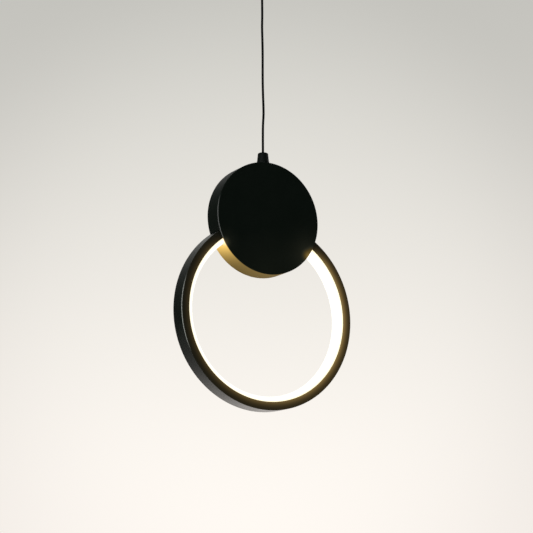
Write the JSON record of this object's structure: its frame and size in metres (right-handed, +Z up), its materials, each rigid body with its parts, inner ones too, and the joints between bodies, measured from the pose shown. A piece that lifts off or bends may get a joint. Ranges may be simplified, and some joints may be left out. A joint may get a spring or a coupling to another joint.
{
  "type": "led ring pendant light",
  "caption": "Pendant light with a round flat housing hung on a thin cord from a ceiling canopy, and an inward-facing LED ring that passes through the housing's lower half.",
  "frame": {"origin": "middle of the mounting bar's top face, which lies against the ceiling", "axes": "+Z up, out of the ceiling face; the light hangs along -Z. +X to the right of someone who looks at the housing's front face, which is turned to -Y"},
  "size_m": [0.1996, 0.1, 0.5024],
  "materials": {
    "black_metal": "satin black powder coat",
    "black_screw": "black screw",
    "black_plastic": "fine matt moulding",
    "black_rubber": "matt",
    "cord_jacket": "matt round jacket",
    "milky_diffuser": "milky, lit from inside in warm white",
    "strip_board": "white flexible board",
    "white_plastic": "plain moulding",
    "zinc_plate": "zinc plated",
    "brass_screw": "plain",
    "red_wire": "insulation",
    "black_wire": "insulation"
  },
  "bodies": {
    "ceiling_mount": {"mounting_bar": "zinc_plate", "canopy_cover": "black_metal", "canopy_screw_left": "black_screw", "canopy_screw_right": "black_screw", "terminal_block": "white_plastic", "earth_screw": "brass_screw", "canopy_grip": "black_plastic", "canopy_grip_washer": "zinc_plate", "canopy_grip_nut": "zinc_plate", "supply_lead": "cord_jacket"},
    "cord_anchor": {"cord_stop_ball": "zinc_plate"},
    "hanging_cord": {"cord": "cord_jacket"},
    "lamp_head": {"lamp_gland": "black_plastic", "gland_set_screw": "zinc_plate", "gland_nut": "zinc_plate", "front_housing": "black_metal", "rear_cover": "black_metal", "cover_screw_top_left": "black_screw", "cover_screw_top_right": "black_screw", "cover_screw_bottom": "black_screw", "driver_case": "white_plastic", "driver_lid": "white_plastic", "driver_screw_left": "zinc_plate", "driver_screw_right": "zinc_plate", "cord_tail": "cord_jacket", "ring_channel": "black_metal", "ring_diffuser": "milky_diffuser", "led_strip": "strip_board", "ring_splice_plate": "zinc_plate", "splice_screw_left": "zinc_plate", "splice_screw_right": "zinc_plate", "lead_grommet": "black_rubber", "ring_bracket_left": "zinc_plate", "ring_bracket_right": "zinc_plate", "bracket_ring_screw_left": "zinc_plate", "bracket_ring_screw_right": "zinc_plate", "bracket_post_screw_left": "zinc_plate", "bracket_post_screw_right": "zinc_plate", "led_lead_positive": "red_wire", "led_lead_negative": "black_wire"}
  },
  "joints": [
    {"name": "swing_front_back", "type": "hinge", "parent": "ceiling_mount", "child": "cord_anchor", "pos_m": [0, 0, -0.0323], "axis": [1, 0, 0], "range_deg": [-25, 25]},
    {"name": "swing_side_to_side", "type": "hinge", "parent": "cord_anchor", "child": "hanging_cord", "pos_m": [0, 0, -0.0323], "axis": [0, 1, 0], "range_deg": [-25, 25]},
    {"name": "twist", "type": "hinge", "parent": "hanging_cord", "child": "lamp_head", "pos_m": [0, 0, -0.2383], "axis": [0, 0, 1], "range_deg": [-180, 180]}
  ]
}
